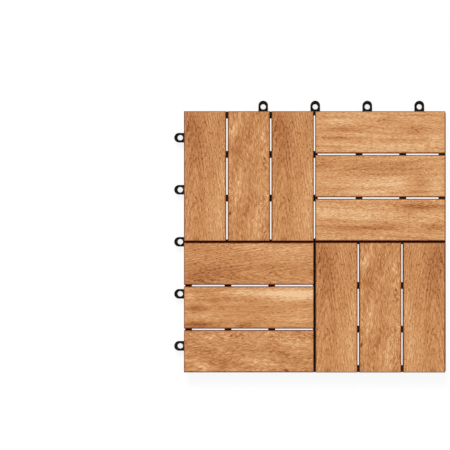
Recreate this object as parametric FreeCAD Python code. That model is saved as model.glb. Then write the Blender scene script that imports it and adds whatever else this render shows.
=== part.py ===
import FreeCAD, Part
import math
import os

# Interlocking deck tile: twelve wooden slats lie in four panels of three, turned in pairs, on a
# black moulded grid. Seen from above, +X points right and +Y to the far side, where loops stand
# out. The origin is the middle of the grid on the ground, +Z is up, and all sizes are millimetres.

# Slats
slat_width = 48.5
slat_thickness = 12.0
slat_gap = 1.8
slats_per_panel = 3
slat_top_radius = 2.2
slat_end_chamfer = 0.8
slat_foot_chamfer = 0.5
slat_shift_x = -1.2

# Moulded grid: its height, its bars and the walls of their hollow undersides
grid_height = 12.0
bar_height = 5.0
bar_width = 8.0
bar_wall = 1.9
bar_top = 1.8
seam_rib_reach = 2.8
seam_rib_lap = 1.5
seam_slit_width = 3.0
seam_slit_rim = 4.4
rail_corner_radius = 2.5

# Eight-sided tubular feet, which hold the screws, thin posts along the rim and a solid round foot
# in the middle. The widths of eight-sided things are measured across their flats.
foot_sides = 8
foot_wall = 1.9
foot_floor = 3.0
post_width = 3.6
middle_foot_radius = 4.0

# Loops on the left and far sides, and pegs on the other two that drop into a neighbour's loops.
# Each side has the same number of places, and the first place of the far side has no loop.
places_per_side = 5
empty_far_places = 1
loop_width = 11.0
loop_height = 9.0
loop_reach = 12.6
loop_hole_radius = 3.1
loop_hole_inset = 7.0
loop_chamfer = 0.5
tile_joint = 1.8
peg_clearance = 0.4
peg_ground_gap = 1.5
peg_taper_height = 1.2
peg_tip_radius = 2.1
loop_clearance = 0.5
peg_seat_wall = 1.9

# Screws, driven upwards through the feet. They are small and hidden, so they and their holes have
# the sides of the feet and no thread.
screw_width = 3.5
screw_tip_width = 0.8
screw_head_width = 7.0
screw_head_crown_width = 5.8
screw_head_height = 2.2
screw_head_room = 0.6
screw_bite = 9.0
screw_point = 3.0
screw_hole_clearance = 0.15
pilot_clearance = 0.05
pilot_spare_depth = 0.6

slat_pitch = slat_width + slat_gap
panel_side = slats_per_panel * slat_pitch - slat_gap
tile_side = 2 * panel_side + slat_gap
half = tile_side / 2
tile_pitch = tile_side + tile_joint
loop_pitch = tile_side / places_per_side
bar_foot = grid_height - bar_height
rail_inner = half - bar_width
rail_middle = half - bar_width / 2
hole_centre = half + loop_reach - loop_hole_inset
peg_centre = tile_pitch - hole_centre
peg_radius = loop_hole_radius - peg_clearance
notch_ceiling = loop_height + loop_clearance
screw_seat = grid_height - foot_floor
foot_bore_width = screw_head_width + 2 * screw_head_room
foot_width = foot_bore_width + 2 * foot_wall

# How far a cutter runs past the face that it opens
past = 1.0
Z_AXIS = FreeCAD.Vector(0, 0, 1)
ORIGIN = FreeCAD.Vector(0, 0, 0)


def block(x_span, y_span, z_span):
    corner = FreeCAD.Vector(x_span[0], y_span[0], z_span[0])
    sizes = [span[1] - span[0] for span in (x_span, y_span, z_span)]
    return Part.makeBox(*sizes, corner)


def column(radius, x, y, z_span):
    return Part.makeCylinder(radius, z_span[1] - z_span[0], FreeCAD.Vector(x, y, z_span[0]))


# An eight-sided solid about an upright axis, with a flat to each side of the tile. It has one
# width at its lower end and one at its upper end.
def ring(width, x, y, z):
    reach = width / 2 / math.cos(math.pi / foot_sides)
    points = []
    for corner in range(foot_sides + 1):
        angle = 2 * math.pi * (corner + 0.5) / foot_sides
        points.append(FreeCAD.Vector(x + reach * math.cos(angle), y + reach * math.sin(angle), z))
    return points


def taper(widths, x, y, z_span):
    low = ring(widths[0], x, y, z_span[0])
    high = ring(widths[1], x, y, z_span[1])
    faces = [Part.Face(Part.makePolygon(low)), Part.Face(Part.makePolygon(high))]
    for side in range(foot_sides):
        corners = [low[side], low[side + 1], high[side + 1], high[side], low[side]]
        faces.append(Part.Face(Part.makePolygon(corners)))
    return Part.Solid(Part.Shell(faces))


def prism(width, x, y, z_span):
    return taper((width, width), x, y, z_span)


def turned(shape, quarter_turns):
    copy = shape.copy()
    copy.rotate(ORIGIN, Z_AXIS, 90 * quarter_turns)
    return copy


def moved(shape, x, y):
    copy = shape.copy()
    copy.translate(FreeCAD.Vector(x, y, 0))
    return copy


def around(shape):
    return [turned(shape, quarter) for quarter in range(4)]


# The places of the bars and feet, for the panel at +X and +Y. Its slats run along X and its two
# cross bars along Y, and each of the other panels is this one turned by a quarter more.
def cross_bar_places():
    return [slat_pitch * number for number in range(1, slats_per_panel)]


def slat_middles():
    return [slat_gap / 2 + slat_width / 2 + slat_pitch * row for row in range(slats_per_panel)]


def foot_places():
    return [(x, y) for y in slat_middles() for x in cross_bar_places()]


# One bar of the grid as (solid, hollow): the hollow is cut from its underside, so that the bar
# is a channel with a wall on each side.
def channel(x_span, y_span, along):
    spans = [x_span, y_span]
    solid = block(x_span, y_span, (bar_foot, grid_height))
    across = 1 - along
    spans[across] = (spans[across][0] + bar_wall, spans[across][1] - bar_wall)
    hollow = block(spans[0], spans[1], (bar_foot - past, grid_height - bar_top))
    return solid, hollow


def rim_channels():
    bars = []
    solid, hollow = channel((-half, half), (rail_inner, half), 0)
    hollow = hollow.common(block((-rail_inner, rail_inner), (rail_inner, half), (0, grid_height)))
    for quarter in range(4):
        bars.append((turned(solid, quarter), turned(hollow, quarter)))
    return bars


# Four ribs lie under the seams between the panels. Three of them reach across the seam's middle
# and close it from below. The one between the two far panels stops there, and leaves it open.
def seam_lap(quarter):
    return 0 if quarter % 4 == 0 else seam_rib_lap


def seam_ribs():
    ribs = []
    for quarter in range(4):
        x_span = (-seam_lap(quarter), seam_rib_reach)
        ribs.append(turned(block(x_span, (0, rail_inner), (bar_foot, grid_height)), quarter))
    return ribs


# The open seam's slit runs on some way into the far rim.
def seam_slit():
    y_span = (rail_inner - past, half - seam_slit_rim)
    return block((-seam_slit_width, 0), y_span, (-past, grid_height + past))


# The cross bars of a panel run from the rim to the seam rib of the panel before it.
def cross_channels():
    bars = []
    for quarter in range(4):
        for x in cross_bar_places():
            x_span = (x - bar_width / 2, x + bar_width / 2)
            solid, hollow = channel(x_span, (seam_lap(quarter - 1), rail_inner), 1)
            bars.append((turned(solid, quarter), turned(hollow, quarter)))
    return bars


# A loop on the +Y side, with its middle at x = 0: a flat tongue with a round end, from the rim's
# inner face outwards. Grown by a clearance it is also the cutter of a notch.
def tongue(grow, z_span):
    side = loop_width / 2 + grow
    root = rail_inner - grow
    shoulder = half + loop_reach - loop_width / 2
    start = FreeCAD.Vector(-side, root, z_span[0])
    left = FreeCAD.Vector(-side, shoulder, z_span[0])
    end = FreeCAD.Vector(0, shoulder + side, z_span[0])
    right = FreeCAD.Vector(side, shoulder, z_span[0])
    close = FreeCAD.Vector(side, root, z_span[0])
    edges = [
        Part.LineSegment(start, left).toShape(),
        Part.Arc(left, end, right).toShape(),
        Part.LineSegment(right, close).toShape(),
        Part.LineSegment(close, start).toShape(),
    ]
    return Part.Face(Part.Wire(edges)).extrude(FreeCAD.Vector(0, 0, z_span[1] - z_span[0]))


def top_outline(solid, level, beyond):
    edges = []
    for edge in solid.Edges:
        box = edge.BoundBox
        if box.ZMin > level - 0.01 and box.YMax > beyond:
            edges.append(edge)
    return edges


def loop():
    body = tongue(0, (0, loop_height))
    body = body.makeChamfer(loop_chamfer, top_outline(body, loop_height, half))
    hole = column(loop_hole_radius, 0, hole_centre, (-past, grid_height))
    wide = loop_hole_radius + loop_chamfer
    mouth_foot = FreeCAD.Vector(0, hole_centre, loop_height - loop_chamfer)
    mouth = Part.makeCone(loop_hole_radius, wide, loop_chamfer, mouth_foot)
    root = block((-loop_width / 2, loop_width / 2), (rail_inner, half), (0, grid_height))
    return body.cut(hole.fuse(mouth)).fuse(root)


def along_side():
    first = -(places_per_side - 1) / 2
    return [loop_pitch * (first + step) for step in range(places_per_side)]


def loops():
    far = [moved(loop(), x, 0) for x in along_side()[empty_far_places:]]
    left = [turned(moved(loop(), x, 0), 1) for x in along_side()]
    return far + left


# A neighbour's loop reaches under this tile's rim, into a notch, and this tile's peg drops into
# its hole. Both are placed from the neighbour's loop, one tile pitch away.
def peg_seat():
    side = loop_width / 2 + loop_clearance + peg_seat_wall
    inner = peg_centre - peg_radius - peg_seat_wall / 2
    return block((-side, side), (-half, -inner), (bar_foot, grid_height))


def notch():
    return moved(tongue(loop_clearance, (-past, notch_ceiling)), 0, -tile_pitch)


def peg():
    straight = column(peg_radius, 0, -peg_centre, (peg_ground_gap + peg_taper_height, notch_ceiling))
    tip = FreeCAD.Vector(0, -peg_centre, peg_ground_gap)
    return straight.fuse(Part.makeCone(peg_tip_radius, peg_radius, peg_taper_height, tip))


def at_peg_places(shape):
    near = [moved(shape, x, 0) for x in along_side()]
    return near + [turned(copy, 1) for copy in near]


# Posts stand half-way between the places of the loops or pegs, and at the corners.
def posts():
    side = post_width / 2
    across = (rail_middle - side, rail_middle + side)
    places = [x + loop_pitch / 2 for x in along_side()[:-1]] + [rail_middle]
    found = []
    for x in places:
        found += around(block((x - side, x + side), across, (0, grid_height)))
    return found


def feet():
    found = []
    for x, y in foot_places():
        found += around(prism(foot_width, x, y, (0, grid_height)))
    return found


def foot_bores():
    hole_width = screw_width + 2 * screw_hole_clearance
    found = []
    for x, y in foot_places():
        bore = prism(foot_bore_width, x, y, (-past, screw_seat))
        hole = prism(hole_width, x, y, (0, grid_height + past))
        found += around(bore.fuse(hole))
    return found


def rounded_corners(grid):
    corners = []
    for edge in grid.Edges:
        box = edge.BoundBox
        upright = box.ZLength > bar_height / 2 and max(box.XLength, box.YLength) < 0.01
        if upright and min(abs(box.XMin), abs(box.YMin)) > half - 0.01:
            corners.append(edge)
    return grid.makeFillet(rail_corner_radius, corners)


def base_grid():
    bars = rim_channels() + cross_channels()
    grid = bars[0][0].multiFuse([solid for solid, hollow in bars[1:]] + seam_ribs())
    grid = rounded_corners(grid.removeSplitter())
    grid = grid.cut([hollow for solid, hollow in bars])
    middle_foot = column(middle_foot_radius, 0, 0, (0, grid_height))
    grid = grid.multiFuse(feet() + posts() + loops() + at_peg_places(peg_seat()) + [middle_foot])
    grid = grid.cut(foot_bores() + at_peg_places(notch()) + [seam_slit()])
    return grid.multiFuse(at_peg_places(peg())).removeSplitter()


# A slat along X, with its long upper edges rounded and its ends and lower edges eased.
def slat():
    side = slat_width / 2
    level = grid_height
    top = grid_height + slat_thickness
    shoulder = top - slat_top_radius
    turn = slat_top_radius * (1 - 0.5 ** 0.5)
    corner = [
        (side - slat_foot_chamfer, level),
        (side, level + slat_foot_chamfer),
        (side, shoulder),
        (side - turn, top - turn),
        (side - slat_top_radius, top),
    ]
    right = [FreeCAD.Vector(0, y, z) for y, z in corner]
    left = [FreeCAD.Vector(0, -y, z) for y, z in reversed(corner)]
    edges = [
        Part.LineSegment(right[0], right[1]).toShape(),
        Part.LineSegment(right[1], right[2]).toShape(),
        Part.Arc(right[2], right[3], right[4]).toShape(),
        Part.LineSegment(right[4], left[0]).toShape(),
        Part.Arc(left[0], left[1], left[2]).toShape(),
        Part.LineSegment(left[2], left[3]).toShape(),
        Part.LineSegment(left[3], left[4]).toShape(),
        Part.LineSegment(left[4], right[0]).toShape(),
    ]
    board = Part.Face(Part.Wire(edges)).extrude(FreeCAD.Vector(panel_side, 0, 0))
    return board.cut([end_wedge(0, 1), end_wedge(panel_side, -1)])


# What a slat's end loses at its upper edge, where inward is 1 or -1, the way along X to its middle.
def end_wedge(x, inward):
    top = grid_height + slat_thickness
    side = slat_width / 2 + past
    reach = slat_end_chamfer + past
    corners = [
        (x - inward * past, top - reach),
        (x + inward * reach, top + past),
        (x - inward * past, top + past),
        (x - inward * past, top - reach),
    ]
    outline = Part.makePolygon([FreeCAD.Vector(x, -side, z) for x, z in corners])
    return Part.Face(outline).extrude(FreeCAD.Vector(0, 2 * side, 0))


def pilot_holes():
    width = screw_width + 2 * pilot_clearance
    span = (grid_height - past, grid_height + screw_bite + pilot_spare_depth)
    found = []
    for x, y in foot_places():
        found += around(prism(width, x, y, span))
    return found


def slats():
    made = {}
    board = slat()
    pilots = pilot_holes()
    for quarter, corner in enumerate(("ne", "nw", "sw", "se")):
        for row, middle in enumerate(slat_middles()):
            placed = turned(moved(board, slat_gap / 2, middle), quarter)
            placed = moved(placed, slat_shift_x, 0)
            made["slat_%s_%d" % (corner, row + 1)] = placed.cut(pilots)
    return made


def screw(x, y):
    tip = grid_height + screw_bite
    shoulder = tip - screw_point
    head_span = (screw_seat - screw_head_height, screw_seat)
    head = taper((screw_head_crown_width, screw_head_width), x, y, head_span)
    shank = prism(screw_width, x, y, (screw_seat, shoulder))
    point = taper((screw_width, screw_tip_width), x, y, (shoulder, tip))
    return head.multiFuse([shank, point]).removeSplitter()


def screws():
    found = []
    for x, y in foot_places():
        found += around(screw(x, y))
    return Part.makeCompound(found)


def main():
    os.makedirs("parts", exist_ok=True)
    pieces = {"base_grid": base_grid(), **slats(), "slat_screws": screws()}
    for name, shape in pieces.items():
        shape.exportStep("parts/%s.step" % name)
        print(name, len(shape.Solids), "solids", round(shape.Volume, 1), "mm3", shape.isValid())


main()
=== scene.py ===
import bmesh
import bpy
import math
from mathutils import Matrix, Vector


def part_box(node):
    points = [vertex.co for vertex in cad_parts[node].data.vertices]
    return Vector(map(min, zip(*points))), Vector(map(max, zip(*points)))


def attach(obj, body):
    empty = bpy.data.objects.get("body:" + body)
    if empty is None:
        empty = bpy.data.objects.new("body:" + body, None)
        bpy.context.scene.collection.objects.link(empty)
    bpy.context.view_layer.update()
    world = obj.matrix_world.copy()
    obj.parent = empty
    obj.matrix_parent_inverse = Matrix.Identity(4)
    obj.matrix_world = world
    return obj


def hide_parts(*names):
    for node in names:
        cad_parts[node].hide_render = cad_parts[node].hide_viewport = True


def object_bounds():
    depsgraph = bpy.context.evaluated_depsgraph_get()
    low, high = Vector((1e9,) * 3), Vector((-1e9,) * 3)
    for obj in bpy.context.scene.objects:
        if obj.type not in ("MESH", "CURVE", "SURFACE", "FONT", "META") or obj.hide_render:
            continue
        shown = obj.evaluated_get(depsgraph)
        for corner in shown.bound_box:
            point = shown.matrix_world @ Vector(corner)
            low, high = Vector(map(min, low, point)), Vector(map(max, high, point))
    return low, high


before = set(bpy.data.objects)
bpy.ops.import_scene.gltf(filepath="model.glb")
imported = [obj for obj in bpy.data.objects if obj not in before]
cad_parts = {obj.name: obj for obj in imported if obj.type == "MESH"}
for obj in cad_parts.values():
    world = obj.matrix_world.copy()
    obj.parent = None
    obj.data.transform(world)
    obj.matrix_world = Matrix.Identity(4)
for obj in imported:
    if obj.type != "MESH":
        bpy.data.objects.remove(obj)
cad_low, cad_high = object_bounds()

MM = 0.001
WHITE = (1.0, 1.0, 1.0, 1.0)

# The camera looks straight down, as the photograph does, from a place left of the tile, which puts
# the tile at the right of the picture.
CAMERA_PLACE = (-104.05 * MM, 19.34 * MM)
CAMERA_HEIGHT = 4000 * MM
CAMERA_LENS = 278.8

# Light: a broad soft one from the far side and a little from the left, a weaker and softer one from
# the right, and an even sky. Spreads are in degrees.
KEY_WAY = (-0.30, 1.00, 1.25)
KEY_SPREAD = 24.0
KEY_POWER = 2.0
FILL_WAY = (0.6, -0.2, 1.5)
FILL_SPREAD = 70.0
FILL_POWER = 0.30
SKY_LIGHT = 0.38

# The floor's side in metres. The camera sees it matt and glowing, which makes it white and still
# keeps a soft shadow. Other light meets a paler floor with a weaker glow.
FLOOR_SIZE = 12.0
FLOOR_COLOUR = 0.14
FLOOR_GLOW = 0.89
FLOOR_BOUNCE = 0.75
FLOOR_LIFT = 0.25

# A noise's mean, and how far one step of its seed moves it along each axis.
NOISE_MEAN = 0.5
SEED_STEP = (7.31, 3.17, 5.77)


# A colour of the screen, from 0 to 255 a channel, as the shader's linear colour.
def screen(red, green, blue):
    linear = []
    for value in (red, green, blue):
        part = value / 255
        linear.append(part / 12.92 if part <= 0.04045 else ((part + 0.055) / 1.055) ** 2.4)
    return (*linear, 1.0)


# The node tree of a material or of the world, with short calls. An input is a number, a vector, a
# colour or another node's output.
class Shader:
    def __init__(self, owner):
        self.owner = owner
        owner.use_nodes = True
        self.tree = owner.node_tree
        self.tree.nodes.clear()

    def node(self, kind, inputs=(), **settings):
        made = self.tree.nodes.new(kind)
        for name, value in settings.items():
            setattr(made, name, value)
        for key, value in dict(inputs).items():
            self.feed(made.inputs[key], value)
        return made

    def feed(self, socket, value):
        if isinstance(value, bpy.types.NodeSocket):
            self.tree.links.new(value, socket)
        else:
            socket.default_value = value

    def calc(self, operation, *values):
        return self.node("ShaderNodeMath", enumerate(values), operation=operation).outputs[0]

    # The value with all the parts added.
    def total(self, value, parts):
        for part in parts:
            value = self.calc("ADD", value, part)
        return value

    def vector(self, operation, *values):
        made = self.node("ShaderNodeVectorMath", enumerate(values), operation=operation)
        is_number = operation in ("LENGTH", "DOT_PRODUCT")
        return made.outputs["Value" if is_number else "Vector"]

    def split(self, vector):
        return self.node("ShaderNodeSeparateXYZ", {"Vector": vector}).outputs

    def join(self, x, y, z):
        return self.node("ShaderNodeCombineXYZ", {"X": x, "Y": y, "Z": z}).outputs[0]

    # The piece's own coordinates, in millimetres from an origin given in metres.
    def place(self, origin=(0.0, 0.0, 0.0)):
        own = self.node("ShaderNodeTexCoord").outputs["Object"]
        inputs = {0: self.vector("SUBTRACT", own, origin), "Scale": 1 / MM}
        return self.node("ShaderNodeVectorMath", inputs, operation="SCALE").outputs[0]

    # A kind of noise is given by its length along each axis, its own seed, detail and roughness.
    def noise(self, place, kind, seed=0.0):
        lengths, own_seed, detail, roughness = kind
        shrink = tuple(1 / length for length in lengths)
        shift = tuple((seed + own_seed) * step for step in SEED_STEP)
        spot = self.vector("MULTIPLY_ADD", place, shrink, shift)
        inputs = {"Vector": spot, "Scale": 1.0, "Detail": detail, "Roughness": roughness}
        return self.node("ShaderNodeTexNoise", inputs).outputs[0]

    # How far a noise strays from its mean, times an amount.
    def sway(self, noise, amount):
        return self.calc("MULTIPLY", self.calc("SUBTRACT", noise, NOISE_MEAN), amount)

    # Runs smoothly from to_low, where the value is low or less, to to_high at high or more.
    def span(self, value, low, high, to_low=0.0, to_high=1.0):
        inputs = enumerate((value, low, high, to_low, to_high))
        return self.node("ShaderNodeMapRange", inputs, interpolation_type="SMOOTHSTEP").outputs[0]

    # Runs straight from at_zero, where the value is 0, to at_one where it is 1, and on.
    def graded(self, value, at_zero, at_one):
        return self.calc("MULTIPLY_ADD", value, at_one - at_zero, at_zero)

    def ramp(self, value, stops):
        made = self.node("ShaderNodeValToRGB", {"Fac": value})
        ramp = made.color_ramp
        while len(ramp.elements) < len(stops):
            ramp.elements.new(0.5)
        for element, (place, colour) in zip(ramp.elements, stops):
            element.position = place
            element.color = colour
        return made.outputs[0]

    # The colour multiplied by a tint, as far as the amount says. Inputs 6 and 7 and output 2 are
    # the node's colours.
    def tinted(self, colour, tint, amount):
        inputs = {0: amount, 6: colour, 7: tint}
        made = self.node("ShaderNodeMix", inputs, data_type="RGBA", blend_type="MULTIPLY")
        return made.outputs[2]

    def bump(self, height, strength, depth):
        inputs = {"Strength": strength, "Distance": depth, "Height": height}
        return self.node("ShaderNodeBump", inputs).outputs[0]

    def principled(self, colour, roughness, normal, others):
        inputs = {"Base Color": colour, "Roughness": roughness, "Normal": normal, **others}
        return self.node("ShaderNodeBsdfPrincipled", inputs).outputs[0]

    # A matt grey that also glows.
    def glowing(self, grey, glow):
        matt = self.node("ShaderNodeBsdfDiffuse", {"Color": (grey, grey, grey, 1.0)})
        light = self.node("ShaderNodeEmission", {"Strength": glow})
        return self.node("ShaderNodeAddShader", {0: matt.outputs[0], 1: light.outputs[0]}).outputs[0]

    def mix(self, amount, first, second):
        return self.node("ShaderNodeMixShader", enumerate((amount, first, second))).outputs[0]

    # 1 for what the camera sees, straight, in a reflection or through something clear, else 0.
    def seen_by_camera(self):
        path = self.node("ShaderNodeLightPath").outputs
        straight = self.calc("MAXIMUM", path["Is Camera Ray"], path["Is Glossy Ray"])
        return self.calc("MAXIMUM", straight, path["Is Transmission Ray"])

    def finish(self, surface, output="ShaderNodeOutputMaterial"):
        self.node(output, {"Surface": surface})
        return self.owner


# The wood's colours, from its darkest pores at tone 0 to its lightest streaks at tone 1, and its
# roughness at both. Sheen is the specular level, and a bump is its strength and depth.
WOOD_STOPS = [
    (0.00, screen(118, 54, 12)),
    (0.25, screen(171, 102, 46)),
    (0.50, screen(198, 134, 78)),
    (0.75, screen(219, 160, 104)),
    (1.00, screen(243, 199, 151)),
]
WOOD_ROUGHNESS = (0.62, 0.46)
WOOD_SHEEN = 0.35
WOOD_BUMP = (0.5, 0.12 * MM)

# What the wood's colour is multiplied by on a slat's rounded edges, as painted shade, and on its
# sawn ends. Turns are how far a face is turned up or endwise, from 0 to 1, where an edge or an end
# sets in. Upright sides take only a share of the edges' painted shade.
PAINTED_EDGE_SHADE = screen(162, 125, 97)
EDGE_TURN = (0.74, 0.97)
SIDE_TURN = (0.02, 0.30)
SIDE_SHARE = 0.45
SAWN_STOPS = [
    (0.30, screen(150, 117, 88)),
    (0.68, screen(216, 189, 162)),
]
END_TURN = (0.75, 0.98)

# The wood's noises: lengths along the grain, across it and into it in millimetres, then what is
# added to the figure's seed, detail and roughness. The ripple's lengths are to the right, up and
# into the figure, and the streaks' second length is across the rings.
DRIFT = ((55, 34, 34), 0.0, 1.0, 0.5)
SMALL_DRIFT = ((13, 9, 9), 0.4, 1.0, 0.5)
RING_WAVER = ((90, 9, 9), 1.0, 2.0, 0.5)
CLOUD = ((60, 16, 16), 2.0, 1.5, 0.5)
STREAK = ((48, 1.5, 30), 3.0, 2.0, 0.5)
FLECK = ((4.6, 0.66, 0.66), 4.0, 1.0, 0.5)
PORE = ((3.2, 0.8, 0.8), 5.0, 0.5, 0.5)
RIPPLE = ((1.5, 1.3, 3.0), 6.0, 1.0, 0.5)
SAWN = ((9, 1.3, 1.3), 7.0, 3.0, 0.65)

# The small drift in millimetres: a fixed part, and a share of the figure's wander.
SMALL_WANDER = 2.5
SMALL_WANDER_SHARE = 0.2

# Rings: how many turns they waver, which part of their wave is dark late wood, and its mean.
RING_WAVER_TURNS = 1.4
LATE_WOOD = (0.1, 1.0)
LATE_MEAN = 0.35

# How much the parts of the grain change the tone, which noise makes a pore, how deep a pore sinks
# beside a fleck, and what lifts the tone by as much as rings and pores darken it.
CLOUD_STRENGTH = 0.25
STREAK_STRENGTH = 0.50
FLECK_STRENGTH = 1.22
PORE_STRENGTH = -0.37
PORE_LEVEL = (0.56, 0.70)
PORE_SINK = -0.6
TONE_LIFT = 0.058

# A patch fades out at this many times its reach. The ripple's place is a patch of its own.
PATCH_END = 1.6
RIPPLE_PLACE = (14.0, -45.0, 9.0, 34.0)

# A figure says how a slat was cut from its log. Lengths are in millimetres.
# tone: its mean place among the wood's colours.
# heart: where the rings' middle lies, across the slat and below the slat's middle.
# taper: how fast the trunk gets thinner along the slat, which draws pointed arches over the heart.
# ring and ring_strength: a ring's width, and how dark its line is.
# wander: how far the grain strays sideways.
# straight and fine: how strong the long streaks are, and the short flecks with their pores.
# pores and ripple: how strong the pores alone are, and the ripple that crosses the grain.
# upright: whether it is drawn with its grain running up. Such a figure is turned to the left on a
# slat that lies along X.
# mirror: -1 where an upright figure is mirrored.
# seed: which noise is drawn.
# patches: darker or lighter clouds, each with its place to the right of the slat's middle and up
# from it, its reach both ways, its strength, where more than 0 is lighter, and how far it leans to
# the right as it goes up.
# A figure takes what it doesn't state from the plain one.
PLAIN_FIGURE = {
    "pores": 1.0,
    "ripple": 0.0,
    "upright": False,
    "mirror": 1.0,
}

ARCHED = {
    "tone": 0.465,
    "heart": (-11.5, 1.2),
    "taper": 0.13,
    "ring": 2.8,
    "ring_strength": 0.14,
    "wander": 6.0,
    "straight": 0.85,
    "fine": 0.8,
    "upright": True,
    "seed": 2.0,
    "patches": [
        (-15.0, 62.0, 14.0, 24.0, -0.16),
        (-8.0, 27.0, 9.0, 28.0, -0.12, -0.1),
        (-18.0, 3.0, 7.0, 24.0, -0.09),
        (-4.0, -10.0, 4.5, 40.0, -0.10),
        (-1.0, -56.0, 7.0, 26.0, 0.07),
        (14.0, -42.0, 11.0, 40.0, 0.19),
        (20.0, 10.0, 6.0, 40.0, 0.07),
        (-20.0, -62.0, 6.0, 16.0, 0.07),
    ],
}

WAVY = {
    "tone": 0.473,
    "heart": (60.0, 20.0),
    "taper": 0.06,
    "ring": 8.0,
    "ring_strength": 0.07,
    "wander": 24.0,
    "straight": 0.65,
    "fine": 1.12,
    "pores": 0.35,
    "ripple": 1.5,
    "upright": True,
    "seed": 3.0,
    "patches": [
        (-14.0, 59.0, 5.0, 15.0, 0.19, 0.35),
        (-5.0, 42.0, 7.0, 18.0, -0.14, 0.4),
        (-13.0, 29.0, 10.0, 5.0, -0.14),
        (18.0, 45.0, 4.0, 26.0, 0.10),
        (14.0, 63.0, 4.0, 5.0, -0.12),
        (5.0, 12.0, 8.0, 20.0, -0.08),
        (-13.0, -9.0, 6.0, 22.0, 0.19, 0.12),
        (12.0, -10.0, 6.0, 30.0, 0.08, 0.1),
        (-2.0, -35.0, 6.0, 16.0, -0.16, 0.35),
        (-9.0, -58.0, 6.0, 16.0, -0.08),
        (9.5, -56.0, 6.0, 18.0, 0.13),
        (-21.6, -43.0, 1.1, 2.0, -0.75, 0.3),
    ],
}

FIGURES = {
    "slat_nw_3": ARCHED,
    "slat_nw_2": WAVY,
    "slat_nw_1": ARCHED,
    "slat_se_1": ARCHED,
    "slat_se_2": WAVY,
    "slat_se_3": {**ARCHED, "mirror": -1.0},
    "slat_ne_3": {
        "tone": 0.65,
        "heart": (-60.0, 20.0),
        "taper": 0.03,
        "ring": 7.0,
        "ring_strength": 0.10,
        "wander": 5.0,
        "straight": 0.95,
        "fine": 0.74,
        "seed": 4.0,
        "patches": [
            (-48.0, 13.0, 22.0, 4.0, 0.17),
            (-36.0, 3.4, 34.0, 3.4, -0.27),
            (-50.0, -7.0, 16.0, 3.5, -0.15),
            (8.0, 14.0, 9.0, 7.0, -0.13),
            (42.0, 13.0, 10.0, 3.5, 0.10),
            (40.0, 3.4, 16.0, 6.0, -0.19),
            (-6.0, -7.0, 15.0, 5.0, 0.12),
            (5.0, -16.0, 55.0, 4.0, 0.17),
            (66.0, -8.0, 8.0, 6.0, 0.12),
        ],
    },
    "slat_ne_2": {
        "tone": 0.64,
        "heart": (50.0, 20.0),
        "taper": 0.03,
        "ring": 6.0,
        "ring_strength": 0.09,
        "wander": 6.0,
        "straight": 1.05,
        "fine": 0.86,
        "seed": 5.0,
        "patches": [
            (-10.0, 10.0, 75.0, 9.0, -0.15),
            (23.0, 11.6, 8.0, 5.0, -0.10),
            (46.0, -4.0, 6.0, 12.0, -0.12),
            (12.0, -4.0, 22.0, 9.0, 0.11),
            (-65.0, 15.0, 12.0, 9.0, -0.13),
            (45.0, -19.0, 12.0, 3.0, -0.16),
            (-20.0, -9.0, 46.0, 5.0, 0.13),
            (19.0, -8.0, 13.0, 7.0, 0.13),
            (-12.0, -20.0, 32.0, 3.5, 0.19),
            (65.0, -10.0, 8.0, 8.0, 0.14),
        ],
    },
    "slat_ne_1": {
        "tone": 0.63,
        "heart": (-50.0, 20.0),
        "taper": 0.04,
        "ring": 6.5,
        "ring_strength": 0.09,
        "wander": 6.0,
        "straight": 0.95,
        "fine": 0.92,
        "seed": 6.0,
        "patches": [
            (-50.0, 8.0, 34.0, 8.0, 0.21),
            (0.0, 9.0, 26.0, 7.0, 0.12),
            (-22.0, 2.0, 17.0, 7.0, 0.13),
            (32.0, 2.0, 14.0, 9.0, -0.11),
            (44.0, 15.5, 27.0, 5.0, -0.42),
            (52.0, 4.0, 22.0, 4.0, 0.08),
            (60.0, -9.0, 16.0, 5.0, -0.26),
            (-35.0, -9.0, 40.0, 3.5, -0.26),
            (10.0, -9.0, 26.0, 4.5, -0.17),
        ],
    },
    "slat_sw_1": ARCHED,
    "slat_sw_2": {
        "tone": 0.535,
        "heart": (60.0, 20.0),
        "taper": 0.03,
        "ring": 9.0,
        "ring_strength": 0.07,
        "wander": 6.0,
        "straight": 0.9,
        "fine": 0.65,
        "seed": 8.0,
        "patches": [
            (53.0, 15.0, 34.0, 7.5, 0.53),
            (0.0, 18.5, 36.0, 4.5, 0.28),
            (-68.0, 14.0, 7.0, 7.0, 0.19),
            (-60.0, -1.0, 13.0, 4.5, -0.32),
            (-40.0, 8.0, 7.0, 5.0, -0.14),
            (-58.0, -20.0, 22.0, 4.8, -0.42),
            (-3.0, -20.0, 12.0, 3.0, -0.23),
            (-52.0, -10.0, 20.0, 3.0, 0.11),
            (54.0, -12.0, 24.0, 6.0, 0.10),
            (12.0, -4.0, 30.0, 5.0, -0.08),
        ],
    },
    "slat_sw_3": WAVY,
}


def box_middle(node):
    low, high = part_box(node)
    return (Vector(low) + Vector(high)) / 2


def lies_along_x(node):
    low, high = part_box(node)
    return high[0] - low[0] > high[1] - low[1]


# Places on a slat, in millimetres from its middle: as its figure is drawn, and along its grain.
def figure_places(wood, node, figure):
    place = wood.place(tuple(box_middle(node)))
    if not figure["upright"]:
        return place, place
    x, y, depth = wood.split(place)
    if lies_along_x(node):
        x, y = y, wood.calc("MULTIPLY", x, -1.0)
    right = wood.calc("MULTIPLY", x, figure["mirror"])
    return wood.join(right, y, depth), wood.join(y, right, depth)


# Places along the grain, which strays sideways.
def strayed(wood, grain, figure):
    wander = figure["wander"]
    drift = wood.sway(wood.noise(grain, DRIFT, figure["seed"]), wander)
    small_wander = SMALL_WANDER + SMALL_WANDER_SHARE * wander
    small_drift = wood.sway(wood.noise(grain, SMALL_DRIFT, figure["seed"]), small_wander)
    along, across, depth = wood.split(grain)
    across = wood.calc("ADD", across, wood.calc("ADD", drift, small_drift))
    return wood.join(along, across, depth)


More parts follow.
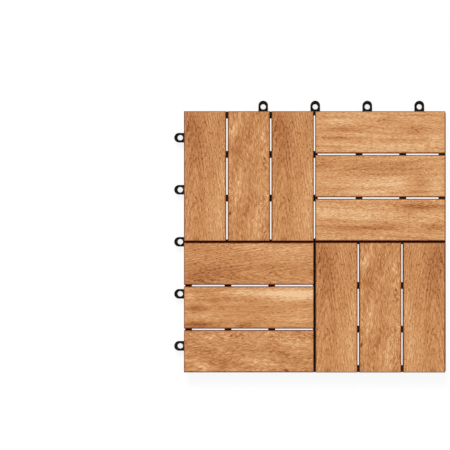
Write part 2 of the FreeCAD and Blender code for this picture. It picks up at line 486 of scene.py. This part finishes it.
# How far a place is from the rings' heart.
def ring_reach(wood, fibre, figure):
    along, across, depth = wood.split(fibre)
    heart_across, heart_depth = figure["heart"]
    beside = wood.calc("SUBTRACT", across, heart_across)
    above = wood.calc("ADD", depth, heart_depth)
    reach = wood.vector("LENGTH", wood.join(beside, above, 0.0))
    return wood.calc("MULTIPLY_ADD", along, figure["taper"], reach)


# A dark line of late wood in every ring.
def ring_lines(wood, fibre, reach, figure):
    waver = wood.sway(wood.noise(fibre, RING_WAVER, figure["seed"]), RING_WAVER_TURNS)
    turns = wood.calc("MULTIPLY_ADD", reach, 1 / figure["ring"], waver)
    wave = wood.calc("SINE", wood.calc("MULTIPLY", turns, 2 * math.pi))
    late = wood.span(wave, *LATE_WOOD)
    return wood.calc("MULTIPLY", wood.calc("SUBTRACT", late, LATE_MEAN), -figure["ring_strength"])


# Long streaks, which follow the rings.
def streaks(wood, fibre, reach, figure):
    along, _, depth = wood.split(fibre)
    noise = wood.noise(wood.join(along, reach, depth), STREAK, figure["seed"])
    return wood.sway(noise, STREAK_STRENGTH * figure["straight"])


# A cloud of the given strength in its middle, which fades out all round.
def patch(wood, seen, right, up, reach_x, reach_y, strength, lean=0.0):
    offset = wood.vector("SUBTRACT", seen, (right, up, 0.0))
    beside = wood.vector("DOT_PRODUCT", offset, (1 / reach_x, -lean / reach_x, 0.0))
    above = wood.vector("DOT_PRODUCT", offset, (0.0, 1 / reach_y, 0.0))
    away = wood.vector("LENGTH", wood.join(beside, above, 0.0))
    return wood.span(away, 0.0, PATCH_END, strength, 0.0)


# The wood's place among its colours, from 0 to 1.
def wood_tone(wood, seen, fibre, fleck, pore, figure):
    reach = ring_reach(wood, fibre, figure)
    parts = [
        ring_lines(wood, fibre, reach, figure),
        wood.sway(wood.noise(fibre, CLOUD, figure["seed"]), CLOUD_STRENGTH),
        streaks(wood, fibre, reach, figure),
        fleck,
        wood.calc("MULTIPLY", pore, PORE_STRENGTH * figure["fine"] * figure["pores"]),
    ]
    if figure["ripple"]:
        where = patch(wood, seen, *RIPPLE_PLACE, figure["ripple"])
        parts.append(wood.sway(wood.noise(seen, RIPPLE, figure["seed"]), where))
    parts += [patch(wood, seen, *cloud) for cloud in figure["patches"]]
    return wood.total(figure["tone"] + TONE_LIFT, parts)


# Rounded edges get painted shade, upright sides a little of it, and sawn ends are much darker.
def painted_edge_shade_and_sawn_ends(wood, colour, node, grain, figure):
    normal = wood.split(wood.node("ShaderNodeNewGeometry").outputs["Normal"])
    turned_up = wood.calc("ABSOLUTE", normal[2])
    # Painted shade: rounded edges darken as they turn from flat, and upright sides take a share of
    # it.
    off_flat = wood.span(turned_up, *EDGE_TURN, 1.0, 0.0)
    off_side = wood.span(turned_up, *SIDE_TURN, SIDE_SHARE, 1.0)
    colour = wood.tinted(colour, PAINTED_EDGE_SHADE, wood.calc("MULTIPLY", off_flat, off_side))
    endwise = wood.calc("ABSOLUTE", normal[0 if lies_along_x(node) else 1])
    sawn = wood.ramp(wood.noise(grain, SAWN, figure["seed"]), SAWN_STOPS)
    return wood.tinted(colour, sawn, wood.span(endwise, *END_TURN))


def wood_material(node, figure):
    wood = Shader(bpy.data.materials.new("wood_" + node))
    seen, grain = figure_places(wood, node, figure)
    fibre = strayed(wood, grain, figure)
    fleck = wood.sway(wood.noise(fibre, FLECK, figure["seed"]), FLECK_STRENGTH * figure["fine"])
    pore = wood.span(wood.noise(fibre, PORE, figure["seed"]), *PORE_LEVEL)
    tone = wood_tone(wood, seen, fibre, fleck, pore, figure)
    colour = painted_edge_shade_and_sawn_ends(wood, wood.ramp(tone, WOOD_STOPS), node, grain, figure)
    roughness = wood.graded(tone, *WOOD_ROUGHNESS)
    height = wood.calc("ADD", fleck, wood.calc("MULTIPLY", pore, PORE_SINK))
    bump = wood.bump(height, *WOOD_BUMP)
    surface = wood.principled(colour, roughness, bump, {"Specular IOR Level": WOOD_SHEEN})
    return wood.finish(surface)


# Black moulded plastic: a fine matt grain, faint flow clouds and slight scuffs. Its shade is 0 where
# it is darkest, PLASTIC_SHADE is the mean, and the strengths are what each noise changes in it.
PLASTIC_GRAIN = ((0.5, 0.5, 0.5), 1.0, 3.0, 0.6)
PLASTIC_FLOW = ((26, 26, 9), 2.0, 3.0, 0.5)
PLASTIC_SCUFF = ((7, 1.4, 3.0), 3.0, 2.0, 0.7)
GRAIN_STRENGTH = 0.5
FLOW_STRENGTH = 0.9
SCUFF_STRENGTH = 0.3
PLASTIC_SHADE = 0.5
PLASTIC_STOPS = [
    (0.15, screen(9, 6, 4)),
    (0.55, screen(14, 10, 7)),
    (0.95, screen(24, 20, 16)),
]
PLASTIC_ROUGHNESS = (0.38, 0.58)
PLASTIC_SHEEN = 0.07
PLASTIC_BUMP = (0.35, 0.05 * MM)


def plastic_material():
    plastic = Shader(bpy.data.materials.new("black_moulded_plastic"))
    place = plastic.place()
    grain = plastic.noise(place, PLASTIC_GRAIN)
    shade = plastic.total(PLASTIC_SHADE, [
        plastic.sway(plastic.noise(place, PLASTIC_FLOW), FLOW_STRENGTH),
        plastic.sway(grain, GRAIN_STRENGTH),
        plastic.sway(plastic.noise(place, PLASTIC_SCUFF), SCUFF_STRENGTH),
    ])
    colour = plastic.ramp(shade, PLASTIC_STOPS)
    roughness = plastic.graded(shade, *PLASTIC_ROUGHNESS)
    bump = plastic.bump(grain, *PLASTIC_BUMP)
    surface = plastic.principled(colour, roughness, bump, {"Specular IOR Level": PLASTIC_SHEEN})
    return plastic.finish(surface)


# Zinc-plated steel: bright grey with faint warm stains and fine turning marks round the axis.
STEEL_STAIN = ((1.6, 1.6, 1.6), 1.0, 3.0, 0.6)
STEEL_TURNING = ((2.2, 2.2, 0.09), 2.0, 1.0, 0.5)
STEEL_STOPS = [
    (0.32, screen(146, 142, 134)),
    (0.55, screen(186, 186, 184)),
    (0.75, screen(205, 201, 190)),
]
STEEL_ROUGHNESS = (0.20, 0.46)
STEEL_BUMP = (0.3, 0.02 * MM)


def steel_material():
    steel = Shader(bpy.data.materials.new("zinc_plated_steel"))
    place = steel.place()
    turning = steel.noise(place, STEEL_TURNING)
    colour = steel.ramp(steel.noise(place, STEEL_STAIN), STEEL_STOPS)
    roughness = steel.graded(turning, *STEEL_ROUGHNESS)
    bump = steel.bump(turning, *STEEL_BUMP)
    return steel.finish(steel.principled(colour, roughness, bump, {"Metallic": 1.0}))


def use_material(thing, material):
    thing.data.materials.clear()
    thing.data.materials.append(material)


# Screws: a pan head with a cross recess faces down in its foot, and a threaded shank runs up.
SCREW_SEGMENTS = 28
SHARP_ANGLE = 32.0

# The head from its crown to its seat: radius, and height above the crown.
HEAD_HEIGHT = 2.2 * MM
HEAD_OUTLINE = [
    (2.9 * MM, 0.0),
    (3.2 * MM, 0.12 * MM),
    (3.4 * MM, 0.75 * MM),
    (3.5 * MM, 1.3 * MM),
    (3.5 * MM, HEAD_HEIGHT),
]

# The recess's cross at the crown, its depth, and the share of its size that its floor has.
RECESS_ARM = 1.75 * MM
RECESS_HALF_WIDTH = 0.42 * MM
RECESS_DEPTH = 1.5 * MM
RECESS_TAPER = 0.55

# The shank's core and the chamfer under its head, and its point: how high it is, its flat tip's
# radius, and how far the tip ends below the top.
CORE_RADIUS = 1.25 * MM
NECK_CHAMFER = 0.25 * MM
POINT_HEIGHT = 3.0 * MM
TIP_RADIUS = 0.12 * MM
TIP_SHORT = 0.1 * MM

# The thread's pitch, and its ridge's width at the root and at the crest in pitches. It starts above
# the seat, and is shorter than the shank by some turns. Its root is sunk into the core, and its
# ridge keeps a least share of its height at the point.
THREAD_PITCH = 1.35 * MM
THREAD_SEGMENTS = 18
THREAD_ROOT = 0.60
THREAD_CREST = 0.12
CREST_RADIUS = 1.75 * MM
THREAD_START = 0.3 * MM
THREAD_SHORT = 1.2
ROOT_SINK = 0.98
POINT_RIDGE = 0.45


def closed_loop(mesh, axis, outline, z):
    return [mesh.verts.new(axis + Vector((*point, z))) for point in outline]


def closed_edges(mesh, loop):
    pairs = zip(loop, loop[1:] + loop[:1])
    return [mesh.edges.get(pair) or mesh.edges.new(pair) for pair in pairs]


# A band of faces between two loops of as many corners.
def band(mesh, first, second):
    for step in range(len(first)):
        after = (step + 1) % len(first)
        mesh.faces.new((first[step], first[after], second[after], second[step]))


def circle(radius):
    outline = []
    for step in range(SCREW_SEGMENTS):
        angle = 2 * math.pi * step / SCREW_SEGMENTS
        outline.append((radius * math.cos(angle), radius * math.sin(angle)))
    return outline


def cross(arm, half_width):
    corner = [(arm, -half_width), (arm, half_width), (half_width, half_width)]
    outline = []
    for quarter in range(4):
        turn = Matrix.Rotation(math.pi / 2 * quarter, 2)
        outline += [turn @ Vector(point) for point in corner]
    return outline


# The head's flat crown with the cross recess sunk into it.
def recessed_crown(mesh, axis, rim, z):
    mouth = closed_loop(mesh, axis, cross(RECESS_ARM, RECESS_HALF_WIDTH), z)
    small = cross(RECESS_ARM * RECESS_TAPER, RECESS_HALF_WIDTH * RECESS_TAPER)
    bottom = closed_loop(mesh, axis, small, z + RECESS_DEPTH)
    band(mesh, mouth, bottom)
    mesh.faces.new(bottom)
    edges = closed_edges(mesh, rim) + closed_edges(mesh, mouth)
    bmesh.ops.triangle_fill(mesh, edges=edges, use_beauty=True)


# A helical ridge on the core, from the seat to the point, which grows and fades in one turn.
def thread(mesh, axis, seat, tip):
    turns = (tip - seat) / THREAD_PITCH - THREAD_SHORT
    count = int(turns * THREAD_SEGMENTS)
    rise = Vector((0, 0, THREAD_PITCH))
    previous = None
    for step in range(count + 1):
        angle = 2 * math.pi * step / THREAD_SEGMENTS
        z = seat + THREAD_START + THREAD_PITCH * step / THREAD_SEGMENTS
        slim = min(1.0, (tip - z) / POINT_HEIGHT)
        grown = min(1.0, step / THREAD_SEGMENTS, (count - step) / THREAD_SEGMENTS)
        core = CORE_RADIUS * slim * ROOT_SINK
        crest = core + (CREST_RADIUS - CORE_RADIUS) * grown * max(slim, POINT_RIDGE)
        way = Vector((math.cos(angle), math.sin(angle), 0))
        foot = axis + Vector((0, 0, z))
        ring = [
            mesh.verts.new(foot + way * core - rise * THREAD_ROOT / 2),
            mesh.verts.new(foot + way * crest - rise * THREAD_CREST / 2),
            mesh.verts.new(foot + way * crest + rise * THREAD_CREST / 2),
            mesh.verts.new(foot + way * core + rise * THREAD_ROOT / 2),
        ]
        if previous:
            for side in range(len(ring) - 1):
                mesh.faces.new((previous[side], ring[side], ring[side + 1], previous[side + 1]))
        else:
            mesh.faces.new(ring)
        previous = ring
    mesh.faces.new(previous[::-1])


def screw(mesh, axis, crown, tip):
    seat = crown + HEAD_HEIGHT
    rings = [(radius, crown + height) for radius, height in HEAD_OUTLINE]
    rings += [
        (CORE_RADIUS + NECK_CHAMFER, seat),
        (CORE_RADIUS, seat + NECK_CHAMFER),
        (CORE_RADIUS, tip - POINT_HEIGHT),
        (TIP_RADIUS, tip - TIP_SHORT),
    ]
    loops = [closed_loop(mesh, axis, circle(radius), z) for radius, z in rings]
    for first, second in zip(loops, loops[1:]):
        band(mesh, first, second)
    recessed_crown(mesh, axis, loops[0], crown)
    mesh.faces.new(loops[-1])
    thread(mesh, axis, seat, tip)


# Every slat has two screws, one and two slat pitches from the tile's middle line. The upper right
# panel's places are turned about the tile's middle for the other three panels.
def screw_places():
    first = box_middle("slat_ne_1")
    pitch = box_middle("slat_ne_2").y - first.y
    places = []
    for quarter in range(4):
        turn = Matrix.Rotation(math.pi / 2 * quarter, 3, "Z")
        for row in range(3):
            for column in (1, 2):
                places.append(turn @ Vector((pitch * column, first.y + pitch * row, 0)))
    return places


def screws(material):
    low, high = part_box("slat_screws")
    mesh = bmesh.new()
    for place in screw_places():
        screw(mesh, place, low[2], high[2])
    bmesh.ops.recalc_face_normals(mesh, faces=mesh.faces)
    data = bpy.data.meshes.new("cross_recess_screws")
    mesh.to_mesh(data)
    mesh.free()
    thing = bpy.data.objects.new("cross_recess_screws", data)
    bpy.context.scene.collection.objects.link(thing)
    data.shade_smooth()
    data.set_sharp_from_angle(angle=math.radians(SHARP_ANGLE))
    use_material(thing, material)
    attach(thing, "root")
    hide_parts("slat_screws")


def dress_frame():
    for node, figure in FIGURES.items():
        use_material(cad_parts[node], wood_material(node, {**PLAIN_FIGURE, **figure}))
    use_material(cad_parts["base_grid"], plastic_material())
    screws(steel_material())


# A pale floor. From below it is clear, so that the underside can be seen.
def floor():
    pale = Shader(bpy.data.materials.new("pale_floor"))
    plain = pale.glowing(FLOOR_BOUNCE, FLOOR_LIFT)
    shown = pale.glowing(FLOOR_COLOUR, FLOOR_GLOW)
    above = pale.mix(pale.seen_by_camera(), plain, shown)
    from_below = pale.node("ShaderNodeNewGeometry").outputs["Backfacing"]
    clear = pale.node("ShaderNodeBsdfTransparent").outputs[0]
    bpy.ops.mesh.primitive_plane_add(size=FLOOR_SIZE, location=(0, 0, 0))
    plane = bpy.context.active_object
    plane.name = "pale_floor"
    use_material(plane, pale.finish(pale.mix(from_below, above, clear)))


# An even soft light from all round, and a white background.
def sky():
    world = Shader(bpy.data.worlds.new("soft_sky"))
    soft = world.node("ShaderNodeBackground", {"Color": WHITE, "Strength": SKY_LIGHT}).outputs[0]
    white = world.node("ShaderNodeBackground", {"Color": WHITE, "Strength": 1.0}).outputs[0]
    surface = world.mix(world.seen_by_camera(), soft, white)
    bpy.context.scene.world = world.finish(surface, "ShaderNodeOutputWorld")


# A light so far away that it is even all over the tile, from the way given.
def lamp(name, way, spread, power):
    data = bpy.data.lights.new(name, "SUN")
    data.angle = math.radians(spread)
    data.energy = power
    thing = bpy.data.objects.new(name, data)
    thing.location = way
    thing.rotation_euler = (-Vector(way)).to_track_quat("-Z", "Y").to_euler()
    bpy.context.scene.collection.objects.link(thing)


def camera():
    data = bpy.data.cameras.new("camera")
    data.lens = CAMERA_LENS
    thing = bpy.data.objects.new("camera", data)
    thing.location = (*CAMERA_PLACE, cad_high.z + CAMERA_HEIGHT)
    bpy.context.scene.collection.objects.link(thing)
    bpy.context.scene.camera = thing


dress_frame()
floor()
sky()
lamp("key", KEY_WAY, KEY_SPREAD, KEY_POWER)
lamp("fill", FILL_WAY, FILL_SPREAD, FILL_POWER)
camera()
bpy.context.scene.view_settings.view_transform = "Standard"
